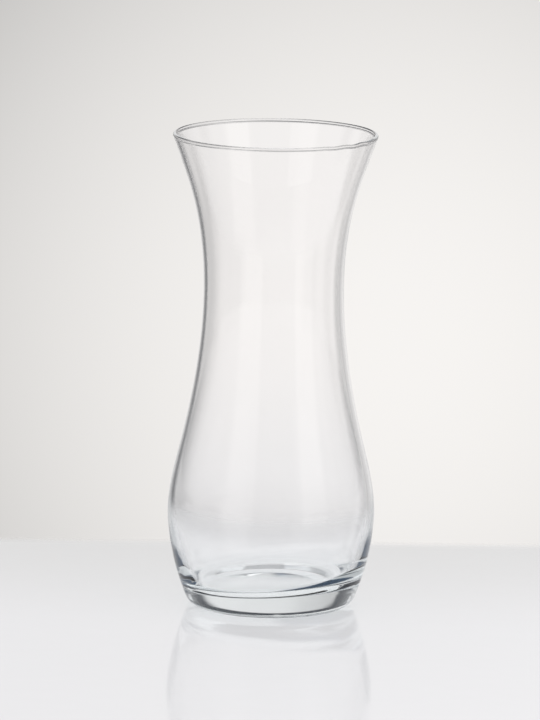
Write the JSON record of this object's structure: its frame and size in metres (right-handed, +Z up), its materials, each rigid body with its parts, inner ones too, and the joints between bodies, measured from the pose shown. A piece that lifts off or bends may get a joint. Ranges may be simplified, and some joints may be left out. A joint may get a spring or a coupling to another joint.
{
  "type": "hyacinth forcing vase",
  "caption": "Clear glass bulb-forcing vase with a flared mouth that carries the bulb, a narrow waist, a full water belly and a thick flat foot.",
  "frame": {"origin": "centre of the foot ring, on the surface the vase stands on", "axes": "+Z up along the vase's axis, towards the mouth"},
  "size_m": [0.0868, 0.0868, 0.2],
  "materials": {
    "clear_glass": "clear, polished, very slightly cool blown soda-lime glass"
  },
  "bodies": {
    "root": {"glass_vase": "clear_glass"}
  },
  "joints": []
}
